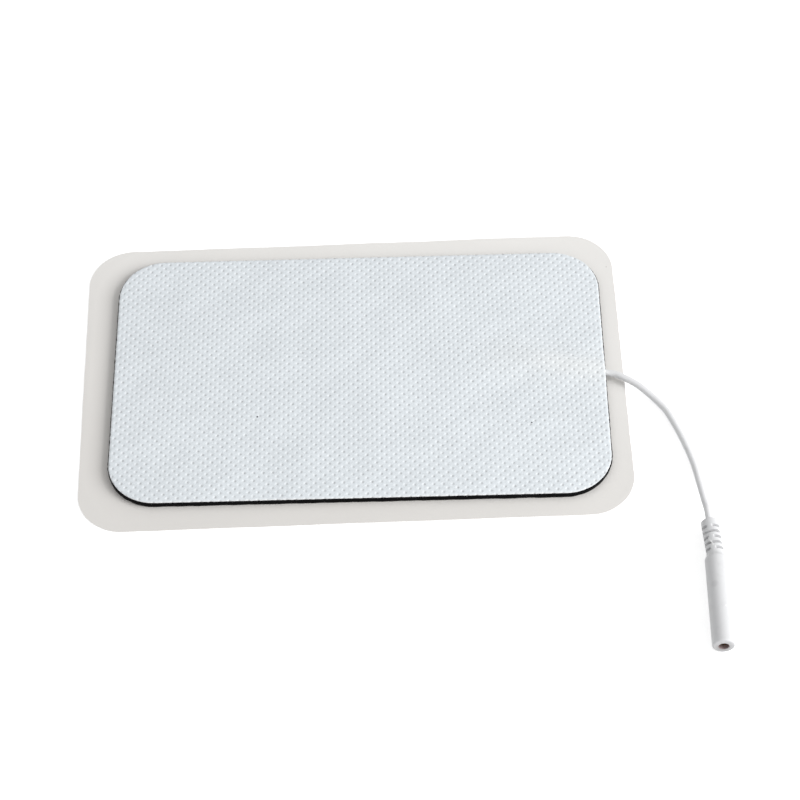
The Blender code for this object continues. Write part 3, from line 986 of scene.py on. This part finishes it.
@dataclass
class PadLaminate:
    """The pad itself: gel, film and fabric, cut to one plan and pressed over the lead.

    The gel swells a little out of its cut edge, and the film shows here and there past the fabric.
    """

    effects: Effects
    corner_radius: float = 12.5 * MM
    dots: tuple[int, int] = (107, 66)
    exit_y: float = -1.65 * MM
    edge_softness: float = 0.5 * MM
    edge_pinch: float = 0.14 * MM
    dot_pinch: float = 0.03 * MM
    gel_edge: CutEdge = CutEdge(
        seed=3,
        shortest=2.5 * MM,
        longest=30 * MM,
        outset=-0.025 * MM,
        swing=0.05 * MM,
        rows=(
            (0.05 * MM, 0.10),
            (0.10 * MM, 0.30),
            (0.12 * MM, 0.55),
            (0.08 * MM, 0.82),
            (0.0, 1.0),
        ),
    )
    film_edge: CutEdge = CutEdge(
        seed=5,
        shortest=1.2 * MM,
        longest=20 * MM,
        outset=0.09 * MM,
        swing=0.05 * MM,
        rows=((0.04 * MM, 0.2), (0.05 * MM, 0.8), (0.0, 1.0)),
    )
    fabric_edge: CutEdge = CutEdge(
        seed=7,
        shortest=1.2 * MM,
        longest=12 * MM,
        outset=-0.13 * MM,
        swing=0.02 * MM,
        rows=((0.04 * MM, 0.15), (0.05 * MM, 0.7), (0.0, 1.0)),
    )
    plan: Plan = field(init=False)
    pocket: Pocket = field(init=False)

    def __post_init__(self) -> None:
        """Reads the plan and the layers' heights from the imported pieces."""
        low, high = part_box("hydrogel_layer")
        center = ((low.x + high.x) / 2, (low.y + high.y) / 2)
        self.plan = Plan(center, high.x - low.x, high.y - low.y, self.corner_radius)
        self.pocket = Pocket((high.x, self.exit_y))
        self.gel_bottom, self.gel_top = low.z, high.z
        self.bond = low.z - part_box("release_liner")[1].z
        self.film_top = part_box("carbon_film")[1].z
        self.fabric_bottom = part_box("backing_fabric")[0].z
        self.fabric_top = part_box("backing_fabric")[1].z - self.pocket.lead_rise
        pitch = (self.plan.length / self.dots[0], self.plan.width / self.dots[1])
        self.emboss = Emboss((low.x, low.y), pitch)

    def build(self) -> None:
        """Builds and dresses the three layers."""
        self._gel()
        self._film()
        self._fabric()

    def _layer(self, finer: tuple[int, int], edge: CutEdge) -> Layer:
        """A layer with one lower cell to a dot's cell, and this many upper ones along and across."""
        cells = (self.dots[0] * finer[0], self.dots[1] * finer[1])
        return Layer(self.plan, cells, finer, edge)

    def _gel(self) -> None:
        """The gel, pressed down by the lead."""
        layer = self._layer((2, 2), self.gel_edge)
        top = self.gel_top - self.pocket.dip(*layer.upper_at)
        bottom = np.full(len(layer.lower_xy), self.gel_bottom)
        piece = layer.build("gel_slab", top, bottom)
        settle(piece, GEL.material(self.effects), "gel", "hydrogel_layer")

    def _film(self) -> None:
        """The carbon film, pressed down with the gel."""
        layer = self._layer((2, 2), self.film_edge)
        top = self.film_top - self.pocket.dip(*layer.upper_at)
        bottom = self.gel_top + self.bond - self.pocket.dip(*layer.lower_at)
        piece = layer.build("carbon_sheet", top, bottom)
        settle(piece, FILM.material(self.effects), "film", "carbon_film")

    def _fabric(self) -> None:
        """The embossed fabric: its height is the tent over the lead, less the dots.

        Towards the cut edge the fabric thins, and it is pinched inwards at each dot there.
        """
        layer = self._layer((4, 3), self.fabric_edge)
        x, y = layer.upper_at
        dots = self.emboss.dots(x, y)
        inside = self.plan.inside(*layer.upper_xy.T)
        thinned = self.edge_pinch * np.exp(-np.maximum(inside, 0.0) / self.edge_softness)
        top = self.fabric_top + self.pocket.rise(x, y) - self.emboss.dot_depth * dots - thinned
        bottom = self.fabric_bottom + self.pocket.rise(*layer.lower_at)
        piece = layer.build("embossed_back", top, bottom, self.dot_pinch * dots[layer.rim])
        covered = np.zeros(len(piece.data.vertices))
        covered[: len(x)] = self.pocket.under_fabric(x, y)
        set_attribute(piece, "over_lead", covered)
        material = FabricFinish(self.emboss).material(self.effects, self.fabric_top)
        settle(piece, material, "fabric", "backing_fabric")


@dataclass
class ReleaseLiner:
    """The clear film under the pad, a little askew, whose free margin lies in slow waves.

    Each wave has its share, how fast it runs along X and along Y, and its phase.
    """

    effects: Effects
    pad: Plan
    length: float = 143 * MM
    width: float = 93 * MM
    corner_radius: float = 12 * MM
    turn: float = math.radians(0.9)
    cells: tuple[int, int] = (286, 186)
    lift_start: float = 1 * MM
    lift_width: float = 6 * MM
    wave_height: float = 0.22 * MM
    wave_length: float = 38 * MM
    waves: tuple[tuple[float, float, float, float], ...] = (
        (0.6, 1.0, 0.0, 1.3),
        (0.4, 0.4, 0.7, 0.0),
    )
    edge: CutEdge = CutEdge(
        seed=11,
        shortest=6 * MM,
        longest=60 * MM,
        outset=-0.03 * MM,
        swing=0.03 * MM,
        rows=((0.0, 0.3), (0.0, 1.0)),
    )

    def build(self) -> None:
        """Builds the liner. Both faces rise by waves that grow from nothing at the pad's edge."""
        plan = Plan((0.0, 0.0), self.length, self.width, self.corner_radius, self.turn)
        layer = Layer(plan, self.cells, (2, 2), self.edge)
        low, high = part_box("release_liner")
        top = high.z + self._lift(*layer.upper_at)
        bottom = low.z + self._lift(*layer.lower_at)
        piece = layer.build("liner_film", top, bottom)
        settle(piece, LinerFinish().material(self.effects), "liner", "release_liner")

    def _lift(self, x: Array, y: Array) -> Array:
        """How far the margin stands off the table: the waves' swing, times the way out squared."""
        past = -self.pad.inside(x - self.pad.center[0], y - self.pad.center[1])
        out = np.clip((past - self.lift_start) / self.lift_width, 0.0, 1.0) ** 2
        k = 2 * math.pi / self.wave_length
        wave = sum(share * np.sin(k * (a * x + b * y) + phase) for share, a, b, phase in self.waves)
        return self.wave_height * out * (1.0 + wave) / 2


@dataclass
class Lead:
    """The jacketed lead, from its cut end inside the pad to its cut end behind the crimp."""

    effects: Effects
    pocket: Pocket
    radius: float = 0.9 * MM
    exit_height: float = 1.84 * MM
    connector_height: float = 2.85 * MM
    relief_end: Pair = (23.03 * MM, -48.77 * MM)
    relief_length: float = 10.2 * MM
    relief_bend: float = math.radians(4.4)
    body_turn: float = math.radians(-0.9)
    straight_in: float = 3.5 * MM
    inside_body: float = 6.35 * MM
    bend_step: float = 2 * MM
    sides: int = 24
    step: float = 0.5 * MM
    # Offset from the exit in X and Y, and lift above lying on the table, in millimetres
    route: tuple[Point, ...] = (
        (2.10, -0.50, 0.96),
        (4.00, -1.45, 1.04),
        (6.00, -2.65, 0.98),
        (7.90, -3.95, 0.80),
        (9.80, -5.65, 0.54),
        (11.70, -7.60, 0.26),
        (13.50, -9.85, 0.10),
        (15.30, -12.55, 0.04),
        (17.85, -18.95, 0.03),
        (19.75, -24.90, 0.03),
        (21.05, -30.40, 0.12),
        (21.85, -36.40, 0.50),
        (22.45, -41.90, 1.30),
    )
    finish: PlasticFinish = PlasticFinish(
        name="soft_jacket",
        color=(0.840, 0.845, 0.855),
        grey_color=(0.705, 0.705, 0.720),
        grain=Grain(1400.0, (0.36, 0.46), 0.2, 0.015 * MM),
    )

    @property
    def exit(self) -> Array:
        """Where the lead's centre crosses the pad's edge."""
        return np.array([*self.pocket.exit, self.exit_height])

    @property
    def body_heading(self) -> Array:
        """Unit vector along the connector's body, towards the mouth."""
        return heading(self.body_turn)

    @property
    def relief_heading(self) -> Array:
        """Unit vector along the bent strain relief, towards the body."""
        return heading(self.body_turn + self.relief_bend)

    @property
    def relief(self) -> Array:
        """Centre of the strain relief's free end."""
        return np.array([*np.add(self.pocket.exit, self.relief_end), self.connector_height])

    @property
    def root(self) -> Array:
        """Where the strain relief grows out of the body, and bends."""
        return self.relief + self.relief_heading * self.relief_length

    def path(self) -> Array:
        """Points along the lead's middle.

        A Catmull-Rom curve runs through the exit, the route, the strain relief's end and the cut
        ends, and is read every half millimetre.

        Returns:
            One row for each point.
        """
        turn = self.pocket.turn
        out = np.array([math.cos(turn), math.sin(turn), 0.0])
        start, inside = self.exit, self.pocket.jacket_inside
        free = np.array(self.route) * MM + [start[0], start[1], self.radius]
        knots = np.vstack(
            [
                start - out * inside,
                start - out * inside / 2,
                start,
                free,
                self.relief - self.relief_heading * self.straight_in,
                self._steps(self.relief, self.relief_heading, self.relief_length),
                self._steps(self.root, self.body_heading, self.inside_body)[1:],
            ]
        )
        return catmull_rom(knots, self.step)

    def _steps(self, start: Array, direction: Array, length: float) -> Array:
        """Even knots from a point along a straight stretch inside the connector, with both ends."""
        run = np.linspace(0.0, length, round(length / self.bend_step) + 1)
        return start + run[:, None] * direction

    def build(self) -> Piece:
        """Builds the tube: a circle carried along the path, level with the table, with closed ends.

        Returns:
            The lead's piece.
        """
        path = self.path()
        along = unit(np.gradient(path, axis=0))
        side = unit(np.cross(along, UP))
        above = np.cross(side, along)
        angle = np.linspace(0, 2 * math.pi, self.sides, endpoint=False)[None, :, None]
        ring = np.cos(angle) * side[:, None, :] + np.sin(angle) * above[:, None, :]
        points = (path[:, None, :] + self.radius * ring).reshape(-1, 3)
        at, following, beyond, both = wrapped(len(path), self.sides)
        skin = np.stack([at, beyond, both, following], axis=-1)[:-1].reshape(-1, 4)
        piece = add_piece("white_lead", points, [skin, np.stack([at[0], at[-1][::-1]])])
        return settle(piece, self.finish.material(self.effects), "jacket", "lead_wire")

    def declare(self) -> None:
        """Reads the lead's path and its exit, which nothing uses."""
        path = self.path()
        tuple(self.exit)


@dataclass
class PinSocket:
    """The moulded connector: a rounded mouth, a plain grip and a slotted strain relief."""

    effects: Effects
    lead: Lead
    body_radius: float = 2.85 * MM
    relief_radius: float = 2.26 * MM
    mouth_radius: float = 1.27 * MM
    chamber_radius: float = 1.55 * MM
    crimp_room_radius: float = 1.05 * MM
    wire_bore_radius: float = 0.95 * MM
    lip_length: float = 1.2 * MM
    chamber_end: float = 14.30 * MM
    jacket_end: float = 20.05 * MM
    shoulder_start: float = 24.90 * MM
    shoulder_length: float = 1.5 * MM
    length: float = 36.6 * MM
    mouth_rounding: float = 0.5 * MM
    bore_rounding: float = 0.15 * MM
    relief_rounding: float = 0.4 * MM
    slot_count: int = 5
    slot_width: float = 0.65 * MM
    slot_bridge: float = 1.3 * MM
    slot_floor: float = 1.02 * MM
    slot_turn: float = math.radians(108)
    end_ring: float = 2.45 * MM
    root_ring: float = 1.15 * MM
    bend_length: float = 1.0 * MM
    slot_softness: float = 0.12 * MM
    sides: int = 112
    end_steps: int = 7
    round_steps: int = 13
    grip_steps: int = 30
    edge_steps: int = 6
    # Of those, how many at the end of the bore's rounded edge take the bore's painted shade
    dark_steps: int = 4
    relief_step: float = 0.055 * MM
    relief_start: float = 0.05 * MM
    # Painted shade on the mouth's rim, in place of the shade that falls there
    mouth_painted_shade: float = 0.80
    # How much less painted shade the mouth's rim has at its top and at its right than half-way
    painted_shade_falls: Pair = (0.5, 0.25)
    # Painted shade in the slots, which grows with their depth
    slot_painted_shade: float = 0.60
    # A thin skin left by the mould runs across a slot: distance from the mouth and turn of its ends
    skin_start: Pair = (28.36 * MM, math.radians(104.7))
    skin_end: Pair = (30.58 * MM, math.radians(128.6))
    skin_half_width: float = 0.15 * MM
    skin_height: float = 0.05 * MM
    # Painted highlights: white spots along the skin, where its ridge would catch the light
    skin_highlights: int = 5
    skin_highlight: Mark = Mark((0.0, 0.0, 0.0), 0.35 * MM, (0.98, 0.98, 0.98), 0.7)
    # A smudge of dirt and a painted highlight, each by its distance from the mouth, to the side and up
    grip_smudge_and_highlight: tuple[Mark, ...] = (
        Mark((16.5 * MM, -1.2 * MM, 2.5 * MM), 1.3 * MM, (0.42, 0.42, 0.43), 0.22),
        # A painted highlight: a white spot in place of a glint
        Mark((10.1 * MM, 1.1 * MM, 2.6 * MM), 0.4 * MM, (0.98, 0.98, 0.98), 0.45),
    )
    finish: PlasticFinish = PlasticFinish(
        name="moulded_white",
        color=(0.752, 0.757, 0.767),
        grey_color=(0.670, 0.670, 0.680),
        grain=Grain(1100.0, (0.46, 0.56), 0.2, 0.015 * MM),
    )

    @property
    def _root_run(self) -> float:
        """Distance from the mouth to the strain relief's root."""
        return self.shoulder_start + self.shoulder_length

    @property
    def _angle(self) -> Array:
        """Angle of each side, round the axis."""
        return np.linspace(0, 2 * math.pi, self.sides, endpoint=False)

    def _outer(self) -> Array:
        """Radius and distance from the mouth along the outer side, from the free end to the mouth."""
        far, near = self.relief_rounding, self.mouth_rounding
        relief_top = self.length - far
        relief_run = np.arange(relief_top - self.relief_start, self._root_run, -self.relief_step)
        grip_run = np.linspace(self.shoulder_start, near, self.grip_steps)[1:-1]
        t = np.linspace(1, 0, self.round_steps)
        step = self.body_radius - self.relief_radius
        shoulder = self.relief_radius + step * smooth_fall(t, 1.0)
        return np.vstack(
            [
                rounded(self.relief_radius - far, relief_top, far, (-90, 0), self.end_steps),
                profile(self.relief_radius, relief_run),
                profile(shoulder, self.shoulder_start + self.shoulder_length * t),
                profile(self.body_radius, grip_run),
                rounded(self.body_radius - near, near, near, (0, 90), self.round_steps),
            ]
        )

    def _inner(self) -> Array:
        """The same along the inside, from the mouth's rounded edge back to the free end."""
        edge = self.bore_rounding
        bend = np.array([-self.bend_length / 2, 0.0, self.bend_length / 2]) + self._root_run
        return np.vstack(
            [
                rounded(self.mouth_radius + edge, edge, edge, (90, 180), self.edge_steps),
                (self.mouth_radius, self.lip_length),
                (self.chamber_radius, self.lip_length),
                (self.chamber_radius, self.chamber_end),
                (self.crimp_room_radius, self.chamber_end),
                (self.crimp_room_radius, self.jacket_end),
                profile(self.wire_bore_radius, np.array([self.jacket_end, *bend, self.length])),
            ]
        )

    def _slotted(self, radius: Array, run: Array) -> Array:
        """Cuts the strain relief's slots into the outer radius, and lays the mould's skin over one.

        A slot takes away all that lies more than half a bridge from the plane through the axis at
        its turn, down to a floor just over the lead: the radius left is half a bridge over the sine
        of the angle from that plane. Every other slot is a quarter turn on. Slot edges are eased.

        Args:
            radius: the radius of each profile point.
            run: its distance from the mouth.

        Returns:
            A radius for each profile point and side.
        """
        slotted = self.length - self._root_run - self.end_ring - self.root_ring
        pitch = slotted / (self.slot_count - 1)
        found = np.repeat(radius[:, None], self.sides, axis=1)
        for number in range(self.slot_count):
            middle = self.length - self.end_ring - number * pitch
            turn = self.slot_turn + (number % 2) * math.pi / 2
            near = np.maximum(np.abs(np.sin(self._angle - turn)), 1e-6)
            left = np.clip(self.slot_bridge / 2 / near, self.slot_floor, self.relief_radius)
            past = np.abs(run - middle) - self.slot_width / 2 + self.slot_softness / 2
            inside = smooth_fall(past, self.slot_softness)
            found -= inside[:, None] * np.maximum(radius[:, None] - left[None, :], 0.0)
        return found + self._skin(run) * (radius[:, None] + self.skin_height - found)

    def _skin(self, run: Array) -> Array:
        """Where the mould's thin skin lies: a bell curve of the distance from its line.

        Distances are measured on the strain relief's side, unrolled flat.

        Args:
            run: distance of each profile point from the mouth.

        Returns:
            1 on the line, falling to 0 beside it, for each profile point and side.
        """
        flat = np.array([1.0, self.relief_radius])
        start = self.skin_start * flat
        reach = self.skin_end * flat - start
        off_run = run[:, None] - start[0]
        off_side = self._angle[None, :] * self.relief_radius - start[1]
        share = np.clip((off_run * reach[0] + off_side * reach[1]) / (reach @ reach), 0.0, 1.0)
        away = np.hypot(off_run - share * reach[0], off_side - share * reach[1])
        return np.exp(-((away / self.skin_half_width) ** 2))

    def _bent(self, points: Array, run: Array) -> Array:
        """Turns the strain relief about its root, in plan, by an angle that grows over a short way.

        Args:
            points: points of the straight moulding, one row for each profile point.
            run: each row's distance from the mouth.

        Returns:
            The points of the bent moulding.
        """
        root = self.lead.root
        share = 1.0 - smooth_fall(run - self._root_run + self.bend_length / 2, self.bend_length)
        off = points - root
        x, y = turned(off[..., 0], off[..., 1], (self.lead.relief_bend * share)[:, None])
        return np.stack([root[0] + x, root[1] + y, points[..., 2]], axis=-1)

    def _painted_shade(self, radius: Array, run: Array) -> Array:
        """How much painted shade lies on each point.

        In the slots it grows with their depth. On the mouth's rim it grows from the outside to the
        bore, and is more on the underside and the left than on the top and the right.

        Args:
            radius: radius of each profile point and side.
            run: distance of each profile point from the mouth.

        Returns:
            A share for each profile point and side.
        """
        depth = (self.relief_radius - radius) / (self.relief_radius - self.slot_floor)
        slots = np.clip(depth, 0.0, 1.0) * self.slot_painted_shade
        slots = np.where((run > self._root_run)[:, None], slots, 0.0)
        rim = (self.body_radius - radius) / (self.body_radius - self.mouth_radius)
        upward, rightward = np.sin(self._angle), np.cos(self._angle)
        lower = 1.0 - self.painted_shade_falls[0] * upward - self.painted_shade_falls[1] * rightward
        at_mouth = (run < self.mouth_rounding)[:, None]
        return np.where(at_mouth, np.clip(rim, 0.0, 1.0) * lower * self.mouth_painted_shade, slots)

    def build(self) -> list[Piece]:
        """Builds the moulding and dresses the contact and the crimped conductor inside it.

        The profile is turned round the connector's axis, and closes on itself through the bore.

        Returns:
            The pieces on the lead's end.
        """
        outer, inner, angle = self._outer(), self._inner(), self._angle
        outer_radius = self._slotted(*outer.T)
        radius = np.vstack([outer_radius, np.repeat(inner[:, :1], self.sides, axis=1)])
        run = np.concatenate([outer[:, 1], inner[:, 1]])
        onward = self.lead.body_heading
        mouth = self.lead.root + onward * self._root_run
        side = np.array([-onward[1], onward[0], 0.0])
        around = np.cos(angle)[:, None] * side + np.sin(angle)[:, None] * UP
        points = mouth - run[:, None, None] * onward + radius[:, :, None] * around[None, :, :]
        points = self._bent(points, run)
        at, following, beyond, both = wrapped(len(run), self.sides)
        skin = np.stack([at, following, both, beyond], axis=-1).reshape(-1, 4)
        piece = add_piece("socket_moulding", points.reshape(-1, 3), [skin], math.radians(55))
        # Painted shade, which the material lays as grey
        set_attribute(piece, "painted_shade", self._painted_shade(radius, run))
        # Painted shade: the bore and the end of its rounded edge are darkened, in place of the shade
        # inside the mouth
        painted_bore_shade = np.zeros_like(radius)
        painted_bore_shade[len(outer) + self.edge_steps - self.dark_steps :] = 1.0
        set_attribute(piece, "bore", painted_bore_shade)

        axes = np.array([-onward, side, UP])
        # The smudge, and the painted highlight on the grip
        marks = [replace(mark, middle=tuple(mouth + mark.middle @ axes)) for mark in self.grip_smudge_and_highlight]
        # Painted highlights along the mould's skin
        for at_run, at_turn in np.linspace(self.skin_start, self.skin_end, self.skin_highlights):
            row = np.argmin(np.abs(outer[:, 1] - at_run))
            column = np.argmin(np.abs(angle - at_turn))
            marks.append(replace(self.skin_highlight, middle=tuple(points[row, column])))
        finish = replace(self.finish, marks=tuple(marks))
        settle(piece, finish.material(self.effects), "moulding", "connector_body")
        nodes = frame["nodes"]
        dress(nodes["socket_contact"], Metal.BRASS.material(self.effects))
        tinned = Metal.TINNED_COPPER.material(self.effects)
        dress(nodes["crimped_conductor"], tinned)
        dress(nodes["conductor_strands"], tinned)
        return [piece, nodes["socket_contact"], nodes["crimped_conductor"]]


@dataclass(frozen=True)
class Studio:
    """A white table under a soft lamp and even light, and the camera at the photograph's angle."""

    floor_size: float = 8.0
    floor_drop: float = 0.05 * MM
    floor_color: Color = (0.90, 0.90, 0.90)
    floor_roughness: float = 0.9
    floor_glow: float = 0.58
    world_level: float = 0.50
    lamp_place: Point = (1.100, -0.358, 0.695)
    lamp_width: float = 0.80
    lamp_power: float = 15.4
    azimuth: float = math.radians(0.737)
    elevation: float = math.radians(53.162)
    roll: float = math.radians(-2.0)
    distance: float = 655.28 * MM
    target: Point = (12.25 * MM, -9.26 * MM, 2.16 * MM)
    lens: float = 112.5
    sensor: float = 36.0
    clip: Pair = (0.01, 20.0)

    def build(self) -> None:
        """Sets up the table, the light and the camera."""
        self._floor()
        self._world()
        self._lamp()
        self._camera()
        bpy.context.scene.view_settings.view_transform = "Standard"

    def _seen(self, wiring: Wiring) -> Socket:
        """1 for rays from the camera, a mirror or glass, and 0 for light."""
        rays = wiring.node("LightPath").outputs
        seen = wiring.math("MAXIMUM", rays["Is Camera Ray"], rays["Is Glossy Ray"])
        return wiring.math("MAXIMUM", seen, rays["Is Transmission Ray"])

    def _floor(self) -> None:
        """A white table, which glows just enough to the eye that only shadows show on it."""
        half = self.floor_size / 2
        corners = np.array([(-half, -half), (half, -half), (half, half), (-half, half)])
        points = np.column_stack([corners, np.full(4, -self.floor_drop)])
        floor = add_piece("table", points, [np.array([[0, 1, 2, 3]])])
        surface = Surface("white_table")
        material = surface.finish(
            Base_Color=self.floor_color,
            Roughness=self.floor_roughness,
            Specular_IOR_Level=0.0,
            Emission_Color=WHITE,
            Emission_Strength=surface.times(self._seen(surface), self.floor_glow),
        )
        dress(floor, material)

    def _world(self) -> None:
        """Even light from all round, which looks white to the eye."""
        world = bpy.data.worlds.new("studio")
        world.use_nodes = True
        wiring = Wiring(world.node_tree)
        background = world.node_tree.nodes["Background"].inputs
        level = wiring.ramp(self._seen(wiring), 0.0, 1.0, self.world_level, 1.0)
        wiring.feed(background["Strength"], level)
        wiring.feed(background["Color"], WHITE)
        bpy.context.scene.world = world

    def _lamp(self) -> None:
        """A soft square lamp, which faces the middle of the table."""
        data = bpy.data.lights.new("key_lamp", "AREA")
        data.shape = "SQUARE"
        data.size = self.lamp_width
        data.energy = self.lamp_power
        lamp = add_object("key_lamp", data)
        lamp.location = self.lamp_place
        lamp.rotation_euler = (-Vector(self.lamp_place)).to_track_quat("-Z", "Y").to_euler()

    def _camera(self) -> None:
        """The camera, turned a little about its own axis."""
        cos_e, sin_e = math.cos(self.elevation), math.sin(self.elevation)
        back = Vector((math.sin(self.azimuth) * cos_e, -math.cos(self.azimuth) * cos_e, sin_e))
        level = Vector((math.cos(self.azimuth), math.sin(self.azimuth), 0.0))
        right = math.cos(self.roll) * level + math.sin(self.roll) * back.cross(level)
        data = bpy.data.cameras.new("camera")
        data.lens, data.sensor_width = self.lens, self.sensor
        data.clip_start, data.clip_end = self.clip
        camera = add_object("camera", data)
        turn = Matrix((right, back.cross(right), back)).transposed().to_4x4()
        camera.matrix_world = Matrix.Translation(Vector(self.target) + back * self.distance) @ turn
        bpy.context.scene.camera = camera


def main() -> None:
    """Sets the stage, then builds the lead, the socket, the pad and its liner."""
    logging.basicConfig(level=logging.INFO, format="%(message)s")
    Studio().build()
    effects = Effects()
    pad = PadLaminate(effects)
    lead = Lead(effects, pad.pocket)
    tube = lead.build()
    on_it = PinSocket(effects, lead).build()
    lead.declare()
    pad.build()
    ReleaseLiner(effects, pad.plan).build()


if __name__ == "__main__":
    main()
